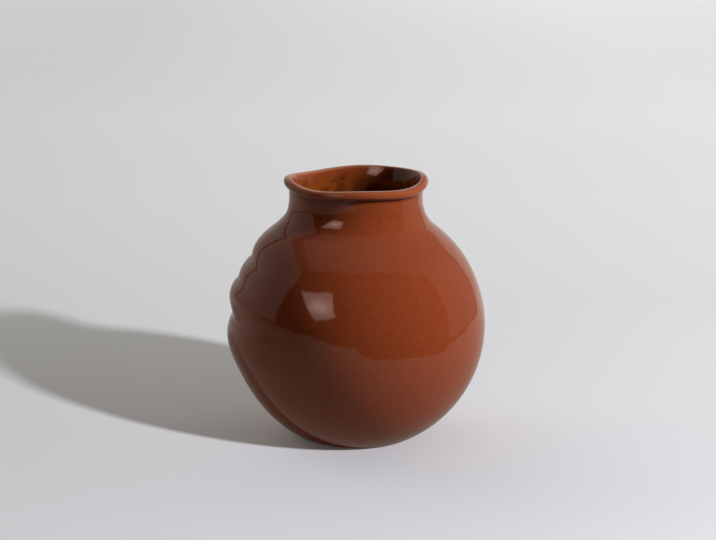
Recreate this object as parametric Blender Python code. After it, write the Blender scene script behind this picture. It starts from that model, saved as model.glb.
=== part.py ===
"""A round terracotta vase, coil-built: base disc, five wall coils, neck collar and rolled rim.

Metres, +Z up. The origin is on the table, under the middle of the foot. The coils are left plump
on the -X side and scraped smooth elsewhere, and -Y faces the viewer.
"""

import math

import bmesh
import bpy

# The outside of the vase: an elliptical belly, a concave fillet and a straight neck
BELLY_RADIUS = 0.0972
BELLY_HALF_HEIGHT = 0.0962
FOOT_RADIUS = 0.0445
NECK_RADIUS = 0.0502
NECK_FILLET = 0.033
HEIGHT = 0.1982

# Clay thickness
WALL = 0.006
NECK_WALL = 0.0052
FLOOR = 0.008
FOOT_RING_WIDTH = 0.010
FOOT_RECESS = 0.0015

# The rolled rim, a round coil that overhangs the neck
RIM_ROLL_RADIUS = 0.00315
RIM_OVERHANG = 0.0041

# Joints between the clay pieces: the slip that lutes them, and how far the scarf climbs inside
LUTE_GAP = 0.0003
SCARF_RISE = 0.003

# Wall coils from the base up: name, height, swell on the plump side, the share of the height at
# which the swell is fullest, and the depth of the crease above
WALL_COILS = (
    ("wall_coil_1", 0.0450, -0.0013, 0.50, 0.0003),
    ("wall_coil_2", 0.0420, 0.0026, 0.57, 0.0012),
    ("wall_coil_3", 0.0270, 0.0036, 0.66, -0.0006),
    ("wall_coil_4", 0.0165, 0.0015, 0.50, 0.0002),
    ("wall_coil_5", 0.0320, 0.0038, 0.50, -0.0002),
)
SWELL_ROUNDNESS = 0.85

# Where the maker's hand shows: the plump side, the neck's lean, which the top coil takes up, and
# the rim's waves, each with its turns round the rim, its height and the angle of its crest
PLUMP_ANGLE = math.radians(180.0)
PLUMP_SPREAD = math.radians(27.0)
NECK_LEAN = -0.0011
RIM_WAVES = (
    (1, 0.0012, math.radians(70.0)),
    (2, 0.0010, math.radians(25.5)),
    (3, 0.0005, math.radians(50.5)),
    (4, 0.0008, math.radians(4.0)),
)

# How finely the round forms are divided
SEGMENTS = 56
OUTER_STEP = 0.0036
INNER_STEP = 0.010
RIM_STEPS = 12
FILLET_HALVINGS = 50
SLOPE_SPAN = 0.0001
MERGE_DISTANCE = 0.00001

BELLY_CENTRE = BELLY_HALF_HEIGHT * math.sqrt(1 - (FOOT_RADIUS / BELLY_RADIUS) ** 2)
RIM_SEAT = HEIGHT - 2 * RIM_ROLL_RADIUS
NECK_JOINT = FLOOR + sum(height for _, height, _, _, _ in WALL_COILS)
LEAN_START = NECK_JOINT - WALL_COILS[-1][1]


class WallFace:
    """One face of the wall, turned about Z: belly, fillet and neck."""

    def __init__(self, belly_radius, belly_half_height, neck_radius, fillet):
        self.belly_radius = belly_radius
        self.belly_half_height = belly_half_height
        self.neck_radius = neck_radius
        self.fillet = fillet
        self.place_fillet()

    def place_fillet(self):
        """Slide the fillet up the belly until its far side touches the neck."""
        low = 0.0
        high = math.pi / 2
        for _ in range(FILLET_HALVINGS):
            angle = (low + high) / 2
            normal_r = self.belly_half_height * math.cos(angle)
            normal_z = self.belly_radius * math.sin(angle)
            reach = self.fillet / math.hypot(normal_r, normal_z)
            self.fillet_start = BELLY_CENTRE + self.belly_half_height * math.sin(angle)
            self.fillet_radius_out = self.belly_radius * math.cos(angle) + reach * normal_r
            self.fillet_height = self.fillet_start + reach * normal_z
            if self.fillet_radius_out > self.neck_radius + self.fillet:
                low = angle
            else:
                high = angle

    def radius(self, height):
        """Radius of this face at a height."""
        if height <= self.fillet_start:
            rise = (height - BELLY_CENTRE) / self.belly_half_height
            return self.belly_radius * math.sqrt(max(0.0, 1 - rise * rise))
        if height <= self.fillet_height:
            drop = self.fillet_height - height
            return self.fillet_radius_out - math.sqrt(max(0.0, self.fillet ** 2 - drop ** 2))
        return self.neck_radius

    def normal(self, height):
        """Outward and upward parts of this face's normal at a height."""
        change = self.radius(height + SLOPE_SPAN) - self.radius(height - SLOPE_SPAN)
        length = math.hypot(2 * SLOPE_SPAN, change)
        return 2 * SLOPE_SPAN / length, -change / length

    def points(self, start, end, step):
        """Points (radius, height) along this face from one height to another."""
        count = max(1, round(abs(end - start) / step))
        heights = [start + (end - start) * i / count for i in range(count + 1)]
        return [(self.radius(height), height) for height in heights]


OUTSIDE = WallFace(BELLY_RADIUS, BELLY_HALF_HEIGHT, NECK_RADIUS, NECK_FILLET)
INSIDE = WallFace(
    BELLY_RADIUS - WALL, BELLY_HALF_HEIGHT - WALL, NECK_RADIUS - NECK_WALL, NECK_FILLET + NECK_WALL
)


def level_joint(height):
    """Heights outside and inside the wall of a joint that is cut level."""
    return height, height


def scarf_joint(height):
    """Heights outside and inside the wall of a joint that is cut aslant and climbs inside."""
    outward, upward = OUTSIDE.normal(height)
    return height, height - WALL * upward + SCARF_RISE * outward


def smooth_share(value, start, end):
    """Ease from 0 at start to 1 at end."""
    share = min(1.0, max(0.0, (value - start) / (end - start)))
    return share * share * (3 - 2 * share)


def coil_swell(height):
    """Radial swell of the coils on the plump side: a round lobe per coil, creased at its joints."""
    bottom = FLOOR
    crease_below = 0.0
    for _, coil_height, swell, fullest, crease_above in WALL_COILS:
        share = (height - bottom) / coil_height
        if 0.0 <= share <= 1.0:
            skew = math.log(0.5) / math.log(fullest)
            lobe = max(0.0, math.sin(math.pi * share ** skew)) ** SWELL_ROUNDNESS
            crease = crease_below + (crease_above - crease_below) * share
            return (swell + crease) * lobe - crease
        bottom += coil_height
        crease_below = crease_above
    above = smooth_share(height, NECK_JOINT, RIM_SEAT)
    return 0.0 if height < FLOOR else -crease_below * (1 - above)


def hand_shaped(point):
    """Move a point of the true turned form to where the maker's hand left it."""
    radius = math.hypot(point.x, point.y)
    if radius == 0.0:
        return point
    angle = math.atan2(point.y, point.x)
    inside = INSIDE.radius(point.z)
    depth = (radius - inside) / (OUTSIDE.radius(point.z) - inside)
    off_side = math.remainder(angle - PLUMP_ANGLE, 2 * math.pi) / PLUMP_SPREAD
    swell = min(1.0, max(0.0, depth)) * math.exp(-off_side * off_side) * coil_swell(point.z)
    wave = sum(rise * math.cos(turns * (angle - crest)) for turns, rise, crest in RIM_WAVES)
    shaped = point.copy()
    shaped.x += swell * math.cos(angle) + NECK_LEAN * smooth_share(point.z, LEAN_START, NECK_JOINT)
    shaped.y += swell * math.sin(angle)
    shaped.z += wave * smooth_share(point.z, NECK_JOINT, RIM_SEAT)
    return shaped


def clay(name, colour, roughness, coat):
    """A fired clay surface, bare or under a clear gloss coat."""
    material = bpy.data.materials.new(name)
    material.use_nodes = True
    shader = material.node_tree.nodes["Principled BSDF"]
    shader.inputs["Base Color"].default_value = (*colour, 1.0)
    shader.inputs["Roughness"].default_value = roughness
    shader.inputs["Metallic"].default_value = 0.0
    shader.inputs["Coat Weight"].default_value = coat
    return material


def turned(name, profile, material):
    """Spin an outline of (radius, height) points round Z into one closed piece of the vase."""
    shape = bmesh.new()
    corners = [shape.verts.new((radius, 0.0, height)) for radius, height in profile]
    ends_on_axis = profile[0][0] == 0.0
    pairs = list(zip(corners, corners[1:]))
    if not ends_on_axis:
        pairs.append((corners[-1], corners[0]))
    outline = [shape.edges.new(pair) for pair in pairs]
    bmesh.ops.spin(
        shape,
        geom=corners + outline,
        cent=(0.0, 0.0, 0.0),
        axis=(0.0, 0.0, 1.0),
        angle=2 * math.pi,
        steps=SEGMENTS,
        use_merge=True,
    )
    bmesh.ops.remove_doubles(shape, verts=shape.verts, dist=MERGE_DISTANCE)
    for vertex in shape.verts:
        vertex.co = hand_shaped(vertex.co)
    bmesh.ops.recalc_face_normals(shape, faces=shape.faces)
    mesh = bpy.data.meshes.new(name)
    shape.to_mesh(mesh)
    shape.free()
    mesh.materials.append(material)
    mesh.shade_smooth()
    mesh.set_sharp_from_angle(angle=math.radians(35.0))
    piece = bpy.data.objects.new(name, mesh)
    bpy.context.collection.objects.link(piece)
    return piece


def base_disc(material):
    """The slab the vase is built on: level on top, with a foot ring turned out of its underside."""
    ring_inside = FOOT_RADIUS - FOOT_RING_WIDTH
    edge = OUTSIDE.points(FLOOR, 0.0, OUTER_STEP)
    foot = [(ring_inside, 0.0), (ring_inside - FOOT_RECESS, FOOT_RECESS), (0.0, FOOT_RECESS)]
    return turned("base_disc", [(0.0, FLOOR)] + edge + foot, material)


def wall_ring(name, low, high, material):
    """One ring of the wall between two joints, each given by its heights outside and inside."""
    outside = OUTSIDE.points(low[0], high[0], OUTER_STEP)
    inside = INSIDE.points(high[1], low[1], INNER_STEP)
    return turned(name, outside + inside, material)


def rim_roll(material):
    """The rolled lip: a round coil on the collar, overhanging outside and flaring inside."""
    inner = NECK_RADIUS - NECK_WALL
    centre = NECK_RADIUS + RIM_OVERHANG - RIM_ROLL_RADIUS
    flare = 2 * math.atan2(RIM_ROLL_RADIUS, centre - inner)
    first = math.pi / 2 + flare
    sweep = math.pi + flare
    profile = [(inner, RIM_SEAT)]
    for step in range(RIM_STEPS + 1):
        angle = first - sweep * step / RIM_STEPS
        out = centre + RIM_ROLL_RADIUS * math.cos(angle)
        up = RIM_SEAT + RIM_ROLL_RADIUS + RIM_ROLL_RADIUS * math.sin(angle)
        profile.append((out, up))
    return turned("rim_roll", profile, material)


for old in list(bpy.data.objects):
    bpy.data.objects.remove(old)

bare_clay = clay("bare_terracotta", (0.36, 0.13, 0.06), 0.85, 0.0)
glazed_clay = clay("glazed_terracotta", (0.25, 0.055, 0.02), 0.12, 1.0)

# The first coil stands level on the slab's edge, the next coils and the collar are scarfed on, and
# the collar is cut level for the rim
base_disc(bare_clay)
joint_below = level_joint(FLOOR + LUTE_GAP)
coil_top = FLOOR
for coil_name, coil_height, _, _, _ in WALL_COILS:
    coil_top += coil_height
    wall_ring(coil_name, joint_below, scarf_joint(coil_top - LUTE_GAP / 2), glazed_clay)
    joint_below = scarf_joint(coil_top + LUTE_GAP / 2)
wall_ring("neck_collar", joint_below, level_joint(RIM_SEAT - LUTE_GAP), glazed_clay)
rim_roll(glazed_clay)
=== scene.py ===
import math

import bmesh
import bpy
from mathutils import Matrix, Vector


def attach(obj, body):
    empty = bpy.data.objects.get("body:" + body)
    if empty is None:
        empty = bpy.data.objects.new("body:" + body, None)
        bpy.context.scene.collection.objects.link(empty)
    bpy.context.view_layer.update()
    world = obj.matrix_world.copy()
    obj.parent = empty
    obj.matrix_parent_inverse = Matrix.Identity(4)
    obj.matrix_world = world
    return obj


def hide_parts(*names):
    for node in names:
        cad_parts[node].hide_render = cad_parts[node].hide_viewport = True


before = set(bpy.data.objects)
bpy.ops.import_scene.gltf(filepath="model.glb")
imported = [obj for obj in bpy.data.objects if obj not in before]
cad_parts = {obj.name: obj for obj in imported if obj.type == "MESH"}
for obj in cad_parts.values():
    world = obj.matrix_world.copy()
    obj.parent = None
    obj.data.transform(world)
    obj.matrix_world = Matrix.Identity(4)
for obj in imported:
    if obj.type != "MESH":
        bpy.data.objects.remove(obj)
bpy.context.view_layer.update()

# Foot: the bare clay underside of the base. A ring is left standing when the middle is turned out,
# and it is wiped clean of glaze so that it doesn't stick in the kiln.
FOOT_RADIUS = 0.0445
FOOT_RING_WIDTH = 0.010
FOOT_RECESS = 0.0015
FOOT_EDGE = 0.0006
FOOT_TOP = 0.0040
FOOT_INSET = 0.0022
FOOT_STEP = 0.00084
FOOT_SEGMENTS = 128
MERGE_DISTANCE = 0.00001
GROG_FINENESS = 700.0
BLUSH_FINENESS = 45.0
TURNING_MARKS = 4200.0
MARK_DEPTH = 0.0003
CLAY_RED = (0.40, 0.15, 0.07, 1.0)
CLAY_BROWN = (0.30, 0.10, 0.045, 1.0)
GROG_PALE = (0.46, 0.22, 0.12, 1.0)


class Shade:
    """A shader value: arithmetic on it adds Math nodes, and node() adds any other node."""

    def __init__(self, tree, socket=None):
        self.tree = tree
        self.socket = socket

    def node(self, kind, inputs=(), output=0, stops=(), **settings):
        """Add a node: its settings, its ramp's stops, and the values or links of its sockets."""
        made = self.tree.nodes.new(kind)
        for name, value in settings.items():
            setattr(made, name, value)
        for number, (place, colour) in enumerate(stops):
            ramp = made.color_ramp.elements
            stop = ramp[number] if number < len(ramp) else ramp.new(place)
            stop.position = place
            stop.color = colour
        for key, value in dict(inputs).items():
            if isinstance(value, Shade):
                self.tree.links.new(value.socket, made.inputs[key])
            else:
                made.inputs[key].default_value = value
        return Shade(self.tree, made.outputs[output])

    def math(self, operation, *values):
        return self.node("ShaderNodeMath", enumerate(values), operation=operation)

    def __add__(self, other):
        return self.math("ADD", self, other)

    def __sub__(self, other):
        return self.math("SUBTRACT", self, other)

    def __rsub__(self, other):
        return self.math("SUBTRACT", other, self)

    def __mul__(self, other):
        return self.math("MULTIPLY", self, other)

    __radd__ = __add__
    __rmul__ = __mul__

    def fade(self, start, end, first=0.0, last=1.0):
        """Run from the first to the last value while this value runs from start to end."""
        sockets = {0: self, 1: start, 2: end, 3: first, 4: last}
        return self.node("ShaderNodeMapRange", sockets, clamp=True)

    def over(self, edge, soft):
        """0 under an edge of the given softness and 1 over it."""
        return self.fade(edge - soft, edge + soft)

    def between(self, low, high, soft):
        """1 between two edges of the given softness and 0 outside them."""
        return self.over(low, soft) * (1 - self.over(high, soft))

    def mix(self, first, second):
        """Two colours mixed by this value."""
        return self.node("ShaderNodeMix", {0: self, 6: first, 7: second}, 2, data_type="RGBA")


def surface(name):
    """A new material: returns it, its Principled shader and a Shade to start its nodes from."""
    material = bpy.data.materials.new(name)
    material.use_nodes = True
    tree = material.node_tree
    return material, tree.nodes["Principled BSDF"], Shade(tree)


def feed(shader, shade, socket):
    """Link a value to one of a shader's sockets."""
    shade.tree.links.new(shade.socket, shader.inputs[socket])


def clouds(place, fineness, detail, roughness=0.5):
    """Soft random patches over a place, about as many to the metre as the fineness says."""
    sockets = {"Vector": place, "Scale": fineness, "Detail": detail, "Roughness": roughness}
    return place.node("ShaderNodeTexNoise", sockets)


def turned_mesh(profile, segments):
    """Spin an outline of (radius, height) points, from axis to axis, into a closed bmesh."""
    shape = bmesh.new()
    corners = [shape.verts.new((radius, 0.0, height)) for radius, height in profile]
    edges = [shape.edges.new(pair) for pair in zip(corners, corners[1:])]
    bmesh.ops.spin(
        shape,
        geom=corners + edges,
        cent=(0.0, 0.0, 0.0),
        axis=(0.0, 0.0, 1.0),
        angle=2 * math.pi,
        steps=segments,
        use_merge=True,
    )
    bmesh.ops.remove_doubles(shape, verts=shape.verts, dist=MERGE_DISTANCE)
    bmesh.ops.recalc_face_normals(shape, faces=shape.faces)
    return shape


def finished(name, shape, material, nodes):
    """Turn a bmesh into a smooth piece that rides on the vase and stands for CAD nodes."""
    mesh = bpy.data.meshes.new(name)
    shape.to_mesh(mesh)
    shape.free()
    mesh.materials.append(material)
    mesh.shade_smooth()
    piece = bpy.data.objects.new(name, mesh)
    bpy.context.collection.objects.link(piece)
    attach(piece, "root")
    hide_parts(*nodes)
    return piece


bare, shader, shade = surface("bare_clay")
place = shade.node("ShaderNodeTexCoord", output=3)
grog = clouds(place, GROG_FINENESS, 3.0)
blush = clouds(place, BLUSH_FINENESS, 2.0)
flattened = {0: place, 1: (1.0, 1.0, 0.0)}
from_axis = shade.node("ShaderNodeVectorMath", flattened, operation="MULTIPLY")
reach = shade.node("ShaderNodeVectorMath", {0: from_axis}, 1, operation="LENGTH")
turning = reach.math("SINE", reach * TURNING_MARKS)
feed(shader, (grog * 0.5).mix(blush.mix(CLAY_RED, CLAY_BROWN), GROG_PALE), "Base Color")
feed(shader, 0.75 + grog * 0.2, "Roughness")
marks = {"Strength": 0.5, "Distance": MARK_DEPTH, "Height": grog * 0.6 + turning * 0.25}
feed(shader, shade.node("ShaderNodeBump", marks), "Normal")

ring_inside = FOOT_RADIUS - FOOT_RING_WIDTH
foot_profile = [
    (0.0, FOOT_RECESS),
    (ring_inside - FOOT_RECESS, FOOT_RECESS),
    (ring_inside - FOOT_RECESS / 3, FOOT_RECESS / 3),
    (ring_inside + FOOT_EDGE, 0.0),
    (FOOT_RADIUS - FOOT_EDGE, 0.0),
    (FOOT_RADIUS + FOOT_EDGE, FOOT_EDGE),
    (FOOT_RADIUS - FOOT_INSET, FOOT_STEP),
    (FOOT_RADIUS - FOOT_INSET, FOOT_TOP),
    (0.0, FOOT_TOP),
]
foot_shape = turned_mesh(foot_profile, FOOT_SEGMENTS)
foot = finished("bare_foot", foot_shape, bare, ["base_disc"])

# Glazed wall: the coils, the collar and the rolled rim as they come out of the kiln, fused and glazed
# inside and out. The coils are scraped smooth but for one side, where they are left plump.
BELLY_RADIUS = 0.0972
BELLY_HALF_HEIGHT = 0.0962
NECK_RADIUS = 0.0502
NECK_FILLET = 0.029
HEIGHT = 0.1982
WALL = 0.006
NECK_WALL = 0.0052
FLOOR = 0.008
FLOOR_CORNER = 0.003
FLOOR_CURVE = ((0.95, 0.0016), (0.88, 0.0005), (0.78, 0.0), (0.40, 0.0), (0.0, 0.0))
GLAZE_LINE = 0.0012
GLAZE_EDGE = 0.0008
GLAZE_THICKNESS = 0.0002
SEAT_GAP = 0.0003
RIM_ROLL_RADIUS = 0.00315
RIM_OVERHANG = 0.0041
RIM_GROOVE = 0.0007
LIP_WIDTH = 0.0058
LIP_EDGE = 0.0006
# The turns of each wave round the rim, its height and the angle of its crest
RIM_WAVES = ((1, 0.0012, 70.0), (2, 0.0010, 25.5), (3, 0.0005, 50.5), (4, 0.0008, 4.0))
NECK_LEAN = -0.0011
# From the base up: each coil's height, its swell, where the swell is fullest, and the crease above
COILS = (
    (0.0450, -0.0013, 0.50, 0.0003),
    (0.0420, 0.0026, 0.57, 0.0016),
    (0.0270, 0.0036, 0.66, -0.0006),
    (0.0165, 0.0016, 0.42, 0.0010),
    (0.0320, 0.0038, 0.50, -0.0002),
)
PLUMP_SPREAD = math.radians(36.0)
SWELL_ROUNDNESS = 0.85
CREASE_FILL = 0.0016
CREASE_STEPS = 3
WALL_SEGMENTS = 224
FINE_STEP = 0.0013
COARSE_STEP = 0.003
ROLL_STEP = 0.0004
GROOVE_STEP = 0.0003
LIP_STEP = 0.0002
NECK_STEPS = 8
THROAT_STEPS = 14
FILLET_HALVINGS = 50
# Where the glaze changes: worn on the lip, pooled in the groove and darkened there and faintly down
# the neck as painted shade of the rim, paler on the neck, amber inside
WORN_REACH = 0.0011
POOL_AND_SHADE_REACH = 0.0021
POOL_AND_SHADE_FADE = 0.008
POOL_AND_SHADE_FAINT = 0.1
NECK_PALENESS = 0.4
NECK_PALE_START = (-0.006, 0.003)
AMBER_START = (0.001, 0.009)
INSIDE_DEPTH = NECK_WALL * 0.3
FACE_MARGIN = 0.001
GLAZE_NOTES = ("thin_glaze", "bead", "pooled_glaze_and_shade", "inside")
# How fine the glaze's patterns are, in patches to the metre, and how deep its relief is
MOTTLE_FINENESS = 28.0
SCORCH_FINENESS = 110.0
DRIFT_FINENESS = 60.0
PEEL_FINENESS = 380.0
GRAIN_FINENESS = 620.0
SPECK_FINENESS = 420.0
PIT_FINENESS = 260.0
GLAZE_RELIEF = 0.00022
HONEY = (0.268, 0.050, 0.0155, 1.0)
HONEY_DEEP = (0.244, 0.044, 0.0130, 1.0)
HONEY_GRAIN = (0.305, 0.060, 0.0190, 1.0)
HONEY_ROLL = (0.380, 0.090, 0.0330, 1.0)
HONEY_DARK = (0.13, 0.020, 0.006, 1.0)
AMBER = (0.245, 0.057, 0.0100, 1.0)
AMBER_DEEP = (0.190, 0.038, 0.0060, 1.0)
AMBER_BURNT = (0.075, 0.015, 0.004, 1.0)
PIT_DARK = (0.040, 0.007, 0.002, 1.0)
LIP_WORN = (0.48, 0.20, 0.115, 1.0)

belly_centre = BELLY_HALF_HEIGHT * math.sqrt(1 - (FOOT_RADIUS / BELLY_RADIUS) ** 2)
rim_seat = HEIGHT - 2 * RIM_ROLL_RADIUS
neck_joint = FLOOR + sum(height for height, _, _, _ in COILS)
lean_start = neck_joint - COILS[-1][0]


def arc(centre, radii, start, end, step):
    """Points along an elliptical arc about (radius, height), from one angle to another."""
    count = max(2, round(abs(end - start) * max(radii) / step))
    points = []
    for number in range(count + 1):
        angle = start + (end - start) * number / count
        out = centre[0] + radii[0] * math.cos(angle)
        points.append((out, centre[1] + radii[1] * math.sin(angle)))
    return points


def fillet_place(radii, neck, fillet):
    """Angle on the belly and centre of a concave fillet that touches the belly and the neck."""
    low, high = 0.0, math.pi / 2
    for _ in range(FILLET_HALVINGS):
        angle = (low + high) / 2
        normal = Vector((radii[1] * math.cos(angle), radii[0] * math.sin(angle))).normalized()
        centre = Vector((radii[0] * math.cos(angle), belly_centre + radii[1] * math.sin(angle)))
        centre += fillet * normal
        low, high = (angle, high) if centre.x > neck + fillet else (low, angle)
    return angle, centre


def belly_angle(radii, height):
    """Angle on the belly at a height."""
    return math.asin((height - belly_centre) / radii[1])


def smooth_share(value, start, end):
    """Ease from 0 at start to 1 at end."""
    share = min(1.0, max(0.0, (value - start) / (end - start)))
    return share * share * (3 - 2 * share)


outer = (BELLY_RADIUS, BELLY_HALF_HEIGHT)
inner = (BELLY_RADIUS - WALL, BELLY_HALF_HEIGHT - WALL)
inner_neck = NECK_RADIUS - NECK_WALL
inner_bend = NECK_FILLET + NECK_WALL
outer_angle, outer_fillet = fillet_place(outer, NECK_RADIUS, NECK_FILLET)
inner_angle, inner_fillet = fillet_place(inner, inner_neck, inner_bend)
roll_centre = (NECK_RADIUS + RIM_OVERHANG - RIM_ROLL_RADIUS, rim_seat + RIM_ROLL_RADIUS)
roll = (RIM_ROLL_RADIUS, RIM_ROLL_RADIUS)
lip_centre = (NECK_RADIUS + RIM_OVERHANG - LIP_WIDTH + LIP_EDGE, HEIGHT - LIP_EDGE)
groove = (NECK_RADIUS + RIM_GROOVE, rim_seat - RIM_GROOVE)
axis = (0.0, belly_centre)
floor_angle = belly_angle(inner, FLOOR + FLOOR_CORNER)
foot_angle = belly_angle(outer, GLAZE_LINE)
glaze_under = GLAZE_LINE - GLAZE_THICKNESS
seat_radius = FOOT_RADIUS - FOOT_INSET + SEAT_GAP

# The outside of the wall, from under the foot up to the lip
outside = [
    (0.0, FOOT_TOP + SEAT_GAP),
    (seat_radius, FOOT_TOP + SEAT_GAP),
    (seat_radius, glaze_under),
    (BELLY_RADIUS * math.cos(foot_angle) - GLAZE_EDGE, glaze_under),
]
outside += arc(axis, outer, foot_angle, outer_angle, FINE_STEP)
fillet = (NECK_FILLET, NECK_FILLET)
outside += arc(outer_fillet, fillet, outer_angle + math.pi, math.pi, FINE_STEP)[1:]
neck_run = groove[1] - outer_fillet.y
for step in range(1, NECK_STEPS):
    outside.append((NECK_RADIUS, outer_fillet.y + neck_run * step / NECK_STEPS))
outside += arc(groove, (RIM_GROOVE, RIM_GROOVE), math.pi, math.pi / 2, GROOVE_STEP)
outside += arc(roll_centre, roll, -math.pi / 2, math.pi / 2, ROLL_STEP)
outside += arc(lip_centre, (LIP_EDGE, LIP_EDGE), math.pi / 2, math.pi, LIP_STEP)

# The inside, from the lip down the throat and the belly to the floor
lip = Vector(outside[-1])
throat = Vector((inner_neck, inner_fillet.y))
bend = Vector((inner_neck, (lip.y + throat.y) / 2))
inside = []
for step in range(1, THROAT_STEPS + 1):
    share = step / THROAT_STEPS
    inside.append(tuple(lip.lerp(bend, share).lerp(bend.lerp(throat, share), share)))
inside += arc(inner_fillet, (inner_bend, inner_bend), math.pi, inner_angle + math.pi, COARSE_STEP)
inside += arc(axis, inner, inner_angle, floor_angle, COARSE_STEP)[1:]
corner = inner[0] * math.cos(floor_angle)
inside += [(corner * share, FLOOR + rise) for share, rise in FLOOR_CURVE]


def face_radius(radii, angle, fillet_centre, fillet, neck, height):
    """Radius of the wall's outer or inner face at a height."""
    if height <= belly_centre + radii[1] * math.sin(angle):
        rise = min(1.0, max(-1.0, (height - belly_centre) / radii[1]))
        return radii[0] * math.sqrt(1 - rise * rise)
    if height <= fillet_centre.y:
        drop = fillet_centre.y - height
        return fillet_centre.x - math.sqrt(max(0.0, fillet ** 2 - drop ** 2))
    return neck


def coil_swell(height):
    """How far the plump side stands out: a lobe for each coil, with creases between them."""
    bottom = FLOOR
    crease_below = 0.0
    for coil_height, swell, fullest, crease_above in COILS:
        share = (height - bottom) / coil_height
        if 0.0 <= share <= 1.0:
            skew = math.log(0.5) / math.log(fullest)
            lobe = max(0.0, math.sin(math.pi * share ** skew)) ** SWELL_ROUNDNESS
            crease = crease_below + (crease_above - crease_below) * share
            return (swell + crease) * lobe - crease
        bottom += coil_height
        crease_below = crease_above
    above = smooth_share(height, neck_joint, rim_seat)
    return 0.0 if height < FLOOR else -crease_below * (1 - above)


def hand_shaped(point):
    """Where the maker's hand left a point of the true turned form."""
    radius = math.hypot(point.x, point.y)
    if radius < MERGE_DISTANCE:
        return point.copy()
    angle = math.atan2(point.y, point.x)
    near = face_radius(inner, inner_angle, inner_fillet, inner_bend, inner_neck, point.z)
    far = face_radius(outer, outer_angle, outer_fillet, NECK_FILLET, NECK_RADIUS, point.z)
    depth = min(1.0, max(0.0, (radius - near) / (far - near)))
    off_side = math.remainder(angle - math.pi, 2 * math.pi) / PLUMP_SPREAD
    spots = range(-CREASE_STEPS, CREASE_STEPS + 1)
    rolls = sum(coil_swell(point.z + spot * CREASE_FILL / CREASE_STEPS) for spot in spots)
    swell = depth * math.exp(-off_side * off_side) * rolls / len(spots)
    wave = 0.0
    for turns, rise, crest in RIM_WAVES:
        wave += rise * math.cos(turns * (angle - math.radians(crest)))
    out = Vector((math.cos(angle), math.sin(angle), 0.0))
    lean = NECK_LEAN * smooth_share(point.z, lean_start, neck_joint)
    lift = wave * smooth_share(point.z, neck_joint, rim_seat)
    return point + out * swell + Vector((lean, 0.0, lift))


# Each point notes how much of the glaze's finishes and of the painted shade under the rim it has
# before the hand moves it
wall = turned_mesh(outside + inside, WALL_SEGMENTS)
worn_edge = Vector(lip_centre) + Vector((-LIP_EDGE, LIP_EDGE)) * math.sqrt(0.5)
layers = [wall.verts.layers.float.new(note) for note in GLAZE_NOTES]
thin_layer, bead_layer, pool_and_shade_layer, inside_layer = layers
for vertex in wall.verts:
    flat = Vector((math.hypot(vertex.co.x, vertex.co.y), vertex.co.z))
    vertex[thin_layer] = math.exp(-((flat - worn_edge).length / WORN_REACH) ** 2)
    on_roll = smooth_share(flat.y, rim_seat, rim_seat + RIM_ROLL_RADIUS)
    on_roll *= smooth_share(flat.x, lip_centre[0] - LIP_EDGE, roll_centre[0])
    on_neck = smooth_share(flat.y - outer_fillet.y, *NECK_PALE_START)
    on_neck *= 1.0 if flat.x > NECK_RADIUS - FACE_MARGIN else 0.0
    vertex[bead_layer] = max(on_roll, NECK_PALENESS * on_neck)
    # Glaze pooled in the groove under the rim, with painted shade of the rim there and faintly down
    # the neck
    from_groove = (flat - Vector(groove)).length
    pool_and_shade = math.exp(-(from_groove / POOL_AND_SHADE_REACH) ** 2)
    vertex[pool_and_shade_layer] = max(pool_and_shade, POOL_AND_SHADE_FAINT * math.exp(-(from_groove / POOL_AND_SHADE_FADE) ** 2))
    face = face_radius(outer, outer_angle, outer_fillet, NECK_FILLET, NECK_RADIUS, flat.y)
    is_inside = FLOOR - FACE_MARGIN < flat.y < HEIGHT - LIP_EDGE and flat.x < face - INSIDE_DEPTH
    vertex[inside_layer] = smooth_share(HEIGHT - flat.y, *AMBER_START) if is_inside else 0.0
    vertex.co = hand_shaped(vertex.co)


def spots(place, fineness, size, soft):
    """Small round spots scattered over a place: 1 on them and 0 between them."""
    cells = place.node("ShaderNodeTexVoronoi", {"Vector": place, "Scale": fineness})
    return 1 - cells.over(size, soft)


glaze, shader, shade = surface("honey_glaze")
place = shade.node("ShaderNodeTexCoord", output=3)
notes = [shade.node("ShaderNodeAttribute", output=2, attribute_name=note) for note in GLAZE_NOTES]
thin, bead, pooled_and_shade, within = notes
mottle = clouds(place, MOTTLE_FINENESS, 3.0)
scorch = clouds(place, SCORCH_FINENESS, 3.0)
drift = clouds(place, DRIFT_FINENESS, 1.0)
peel = clouds(place, PEEL_FINENESS, 1.0)
grain = clouds(place, GRAIN_FINENESS, 3.0, 0.7)
speck = spots(place, SPECK_FINENESS, 0.16, 0.05)
pits = spots(place, PIT_FINENESS, 0.24, 0.08)
burnt = scorch.over(0.52, 0.08)
body = mottle.mix(HONEY, HONEY_DEEP)
body = (grain.over(0.52, 0.10) * 0.7).mix(body, HONEY_GRAIN)
body = (bead * 0.75).mix(body, HONEY_ROLL)
body = (speck * 0.35).mix(body, HONEY_DARK)
amber = (burnt * 0.6).mix(mottle.mix(AMBER, AMBER_DEEP), AMBER_BURNT)
body = within.mix(body, amber)
body = (pits * within * burnt).mix(body, PIT_DARK)
# Pooled glaze and painted shade under the rim darken the colour
body = (pooled_and_shade * 0.85).mix(body, HONEY_DARK)
body = (thin * 0.8).mix(body, LIP_WORN)
feed(shader, body, "Base Color")
feed(shader, 0.05 + grain * 0.03 + thin * 0.2, "Roughness")
relief = {"Strength": 1.0, "Distance": GLAZE_RELIEF, "Height": drift + peel * 0.06}
feed(shader, shade.node("ShaderNodeBump", relief), "Normal")
wall_nodes = [f"wall_coil_{number}" for number in range(1, 6)] + ["neck_collar", "rim_roll"]
vase = finished("glazed_wall", wall, glaze, wall_nodes)

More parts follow.
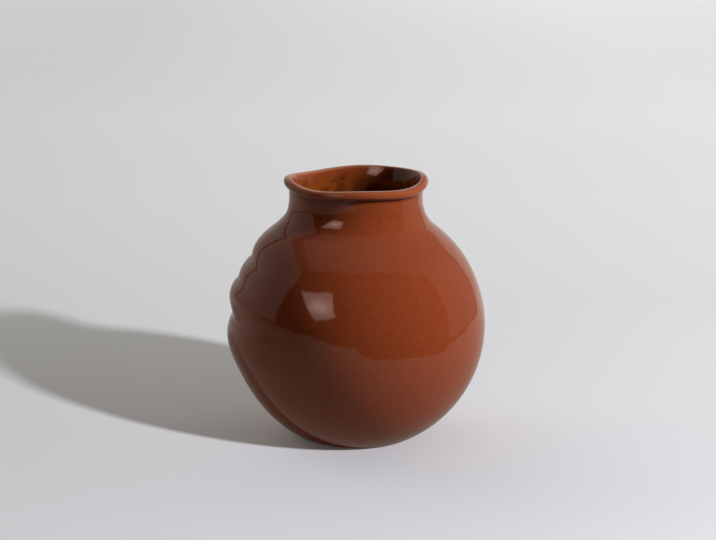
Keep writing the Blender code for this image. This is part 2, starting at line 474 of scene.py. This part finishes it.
# Stage: a pale seamless floor, a lamp on the right for the vase, a smaller one further to the front
# that casts its long shadow, and a studio round the vase that its gloss mirrors.
KEY_PLACE = (2.113, -0.811, 1.365)
KEY_WIDTH = 0.60
KEY_POWER = 72.0
KEY_COLOUR = (1.0, 1.0, 1.0)
SHADOW_PLACE = (1.704, -1.532, 1.200)
SHADOW_WIDTH = 0.17
SHADOW_POWER = 72.0
SHADOW_COLOUR = (1.0, 1.04, 1.07)
FLOOR_REACH = 12.0
PAPER_HEIGHT = -0.0002
SHADOW_GAP_HEIGHT = -0.0004
MIRRORED_HEIGHT = -0.0006
PAPER = (0.755, 0.748, 0.79, 1.0)
MIRRORED_PAPER = (0.37, 0.335, 0.285, 1.0)
SHADOW_GAP_DARK = (0.01, 0.01, 0.01, 1.0)
NO_GLOW = (0.0, 0.0, 0.0, 1.0)
MATT = 0.9
PAPER_SHEEN = 0.1
# The floor's painted light, which grows from the vase to 4 m behind it
GLOW_DEPTH = 4.0
GLOW = (
    (0.00, (0.052, 0.047, 0.043, 1.0)),
    (0.07, (0.128, 0.124, 0.118, 1.0)),
    (0.15, (0.228, 0.224, 0.215, 1.0)),
    (0.23, (0.303, 0.300, 0.295, 1.0)),
    (0.40, (0.402, 0.401, 0.405, 1.0)),
    (1.00, (0.508, 0.508, 0.520, 1.0)),
)


def matt_paper(shader, colour):
    """Make a shader matt, with a glow that its Emission Color gives."""
    shader.inputs["Base Color"].default_value = colour
    shader.inputs["Roughness"].default_value = MATT
    shader.inputs["Specular IOR Level"].default_value = PAPER_SHEEN
    shader.inputs["Emission Strength"].default_value = 1.0


def coordinate(vector, number):
    """One coordinate of a vector: 0 for X, 1 for Y and 2 for Z."""
    return vector.node("ShaderNodeSeparateXYZ", {0: vector}, number)


# The paper that the camera sees: its glow is painted light for the camera alone, stronger further
# back, to the right and by the foot on the right, and it lights nothing
pale, shader, shade = surface("pale_floor")
matt_paper(shader, PAPER)
place = shade.node("ShaderNodeTexCoord", output=3)
across = coordinate(place, 0)
back = coordinate(place, 1)
glow = shade.node("ShaderNodeValToRGB", {0: back.fade(0.0, GLOW_DEPTH)}, stops=GLOW)
painted_light_to_the_right = across.fade(-0.6, 0.6, 0.75, 1.11)
painted_light_by_the_foot = across.fade(0.0, 0.3, 0.0, 0.5) * back.fade(0.4, 0.0)
glow = shade.node("ShaderNodeHueSaturation", {"Value": painted_light_to_the_right + painted_light_by_the_foot, "Color": glow})
seen = shade.node("ShaderNodeLightPath", output="Is Camera Ray")
feed(shader, seen.mix(NO_GLOW, glow), "Emission Color")

# The floor that the gloss mirrors, which ends in a bent edge on the right with a dark strip along it,
# painted shadow of the gap at that edge
table, shader, shade = surface("mirrored_table")
matt_paper(shader, MIRRORED_PAPER)
place = shade.node("ShaderNodeTexCoord", output=3)
across = coordinate(place, 0)
back = coordinate(place, 1)
rear_glow = back.fade(-0.05, 0.55) * across.fade(-0.3, 0.1, 0.17, 0.44)
side_glow = across.fade(-0.05, 0.25, 0.0, 0.13)
front_glow = back.fade(-0.6, -1.4, 0.0, 0.08)
feed(shader, rear_glow.math("MAXIMUM", rear_glow, side_glow) + front_glow, "Emission Color")

# Painted shadow: a dark strip, seen only in the gloss, for the shade in the gap along the right edge
shadow_gap_paint, shader, shade = surface("shadow_gap")
shader.inputs["Base Color"].default_value = SHADOW_GAP_DARK
shader.inputs["Roughness"].default_value = MATT


def sheet_of_paper(name, outline, height, material):
    """A flat piece of the floor with the given outline."""
    shape = bmesh.new()
    shape.faces.new([shape.verts.new((x, y, height)) for x, y in outline])
    bmesh.ops.recalc_face_normals(shape, faces=shape.faces)
    mesh = bpy.data.meshes.new(name)
    shape.to_mesh(mesh)
    shape.free()
    mesh.materials.append(material)
    sheet = bpy.data.objects.new(name, mesh)
    bpy.context.collection.objects.link(sheet)
    return sheet


edge = FLOOR_REACH
square = [(-edge, -edge), (edge, -edge), (edge, edge), (-edge, edge)]
front_edge = [(-edge, -edge), (-2.03, -3.24), (-0.62, -1.50), (-0.48, -1.12), (-0.02, -0.93)]
right_edge = [(0.023, -0.50), (0.068, -0.37), (0.196, -0.28)]
right_edge += [(0.285, -0.20), (0.34, -0.09), (0.43, -0.086)]
shadow_gap_edge = [(0.57, 0.02), (0.70, 0.24), (0.64, 0.60)]
far_edge = [(8.0, 9.1), (edge, edge), (-edge, edge)]
shadow_gap_line = right_edge[-1:] + shadow_gap_edge
shadow_gap_outline = shadow_gap_line + [(x + 0.10, y - 0.05) for x, y in reversed(shadow_gap_line)]
mirrored_outline = front_edge + right_edge + shadow_gap_edge + far_edge
paper = sheet_of_paper("floor", square, PAPER_HEIGHT, pale)
paper.visible_glossy = False
paper.visible_diffuse = False
paper.visible_shadow = False
mirrored = sheet_of_paper("mirrored_floor", mirrored_outline, MIRRORED_HEIGHT, table)
shadow_gap = sheet_of_paper("shadow_gap", shadow_gap_outline, SHADOW_GAP_HEIGHT, shadow_gap_paint)
for sheet in (mirrored, shadow_gap):
    sheet.visible_camera = False
    sheet.visible_transmission = False
    sheet.visible_shadow = False


def lamp_on(name, place, width, power, colour, lit):
    """A round lamp that is aimed at the vase and lights only the given things."""
    light = bpy.data.lights.new(name, "AREA")
    light.shape = "DISK"
    light.size = width
    light.energy = power
    light.color = colour
    lamp = bpy.data.objects.new(name, light)
    lamp.location = place
    lamp.rotation_mode = "QUATERNION"
    away = Vector(place) - Vector((0.0, 0.0, belly_centre))
    lamp.rotation_quaternion = away.to_track_quat("Z", "Y")
    lamp.visible_camera = False
    lamp.visible_glossy = False
    bpy.context.collection.objects.link(lamp)
    lit_things = bpy.data.collections.new(name)
    for thing in lit:
        lit_things.objects.link(thing)
    lamp.light_linking.receiver_collection = lit_things


lamp_on("key", KEY_PLACE, KEY_WIDTH, KEY_POWER, KEY_COLOUR, [vase, foot])
lamp_on("shadow_lamp", SHADOW_PLACE, SHADOW_WIDTH, SHADOW_POWER, SHADOW_COLOUR, [paper, mirrored])

# The studio by direction: turn is 0 towards the camera and grows to the right, rise is up, both in
# degrees, and above_x and above_y are places on a level ceiling
LEFT_CORNER = -137.0
RIGHT_CORNER = 138.0
CORNER_REACH = 1.5
FRONT_LEFT = -76.0
FRONT_RIGHT = 88.0
PANEL_LEFT = -0.71
EDGE_SOFTNESS = 0.8
WALL_LIGHT = 0.22
LEFT_PANEL_LIGHT = 0.045
RIGHT_PANEL_LIGHT = 0.05
RIGHT_REAR_LIGHT = 0.38
# On the left the wall pales in two steps: where each is, how soft it is and what it adds
LEFT_REAR_STEPS = ((-118.0, 22.0, 0.06), (-160.0, 20.0, 0.26))
OVERHEAD_LIGHT = 0.21
GLOOM_LIGHT = 0.012
GAP_GLOOM = 0.75
WINDOW_LIGHT = 1.25
GLARE_LIGHT = 1.9
FILL_REAR = 0.84
FILL_REAR_LEFT = 0.72
FILL_SIDE_LEFT = 0.47
FILL_ABOVE = 0.15
BACKDROP_LIGHT = 0.68
WINDOW_COLOUR = (1.35, 1.0, 0.90, 1.0)
ROOM_COLOUR = (1.0, 0.985, 0.90, 1.0)

world = bpy.data.worlds.new("studio")
bpy.context.scene.world = world
world.use_nodes = True
shade = Shade(world.node_tree)
ray = shade.node("ShaderNodeTexCoord", output=0)
ray_x = coordinate(ray, 0)
ray_y = coordinate(ray, 1)
ray_z = coordinate(ray, 2)
turn = ray_x.math("ARCTAN2", ray_x, ray_y * -1.0) * math.degrees(1.0)
rise = ray_z.math("ARCSINE", ray_z) * math.degrees(1.0)
above_x = ray_x.math("DIVIDE", ray_x, ray_z)
above_y = ray_y.math("DIVIDE", ray_y, ray_z)

# Walls on both hands, paler behind the vase, with dark lines in their corners and along the foot of
# the one on the left
room = WALL_LIGHT + turn.between(FRONT_RIGHT, RIGHT_CORNER, EDGE_SOFTNESS) * RIGHT_PANEL_LIGHT
room = room + turn.over(RIGHT_CORNER, EDGE_SOFTNESS) * RIGHT_REAR_LIGHT
for step_place, step_softness, step_light in LEFT_REAR_STEPS:
    room = room + (1 - turn.over(step_place, step_softness)) * step_light
room = room + turn.between(LEFT_CORNER, -60.0, EDGE_SOFTNESS) * LEFT_PANEL_LIGHT
for middle, darkness in ((LEFT_CORNER, 0.8), (RIGHT_CORNER, 0.75)):
    line = turn.between(middle - CORNER_REACH, middle + CORNER_REACH, 0.5)
    room = room * (1 - line * darkness)
room = room * (1 - turn.between(LEFT_CORNER, -70.0, 1.0) * rise.between(-3.0, 0.6, 0.3) * 0.9)

# A dark room in front, and a panel overhead with a dark gap along its left edge
above = rise.over(20.0, 2.0)
slanted = above_x - above_y * 0.2
overhead = above * (above_y - above_x * above_x * 0.3).over(-0.54, 0.03)
overhead = overhead * slanted.between(PANEL_LEFT, 1.4, 0.06)
gap = above * slanted.between(-0.97, PANEL_LEFT, 0.04)
gloom = turn.between(FRONT_LEFT, FRONT_RIGHT, 0.6)
gloom = gloom.math("MAXIMUM", gloom, gap * GAP_GLOOM)
room = room * (1 - gloom) + gloom * GLOOM_LIGHT
room = room * (1 - overhead) + overhead * OVERHEAD_LIGHT

# A window with four slanting edges, brightest in its middle
past_left = (turn + (rise - 24.0) * 1.27).over(-49.4, EDGE_SOFTNESS)
past_right = (turn + (rise - 30.0) * 0.437).over(-24.9, EDGE_SOFTNESS)
over_sill = (rise - (turn + 30.0) * 0.32).over(17.2, EDGE_SOFTNESS)
over_top = (rise - (turn + 45.0) * 0.19).over(37.5, EDGE_SOFTNESS)
window = past_left * (1 - past_right) * over_sill * (1 - over_top)
glare = rise.between(22.5, 31.0, 4.0) * turn.between(-46.0, -28.0, 6.0)
room = room + window * (WINDOW_LIGHT + glare * GLARE_LIGHT)

# The light that fills the shadows comes from behind, most from the left, and a little from above
behind = 1 - turn.between(-110.0, 110.0, 15.0)
behind = behind * (FILL_REAR + (1 - turn.over(0.0, 20.0)) * FILL_REAR_LEFT)
behind = behind + turn.between(-140.0, -103.0, 5.0) * FILL_SIDE_LEFT
fill = behind * rise.between(7.0, 38.0, 8.0) + rise.over(45.0, 15.0) * FILL_ABOVE
seen = shade.node("ShaderNodeLightPath", output="Is Camera Ray")
mirrored_ray = shade.node("ShaderNodeLightPath", output="Is Glossy Ray")
unseen = mirrored_ray * room + (1 - mirrored_ray) * fill
background = world.node_tree.nodes["Background"]
feed(background, seen * BACKDROP_LIGHT + (1 - seen) * unseen, "Strength")
feed(background, window.mix(ROOM_COLOUR, WINDOW_COLOUR), "Color")

# Camera: the photograph's viewpoint, a long lens that stands 1.3 m in front of the vase and looks
# down on it from a little above the rim.
PHOTO_WIDTH = 716
FOCAL_LENGTH = 1760
SENSOR_WIDTH = 36.0
CAMERA_PLACE = (0.0004, -1.300, 0.4378)
CAMERA_TILT = 13.43
CAMERA_REACH = 100.0

lens = bpy.data.cameras.new("camera")
lens.sensor_width = SENSOR_WIDTH
lens.lens = FOCAL_LENGTH / PHOTO_WIDTH * SENSOR_WIDTH
lens.clip_end = CAMERA_REACH
camera = bpy.data.objects.new("camera", lens)
camera.location = CAMERA_PLACE
camera.rotation_euler = (math.radians(90 - CAMERA_TILT), 0.0, 0.0)
bpy.context.collection.objects.link(camera)
bpy.context.scene.camera = camera
bpy.context.scene.view_settings.view_transform = "Standard"
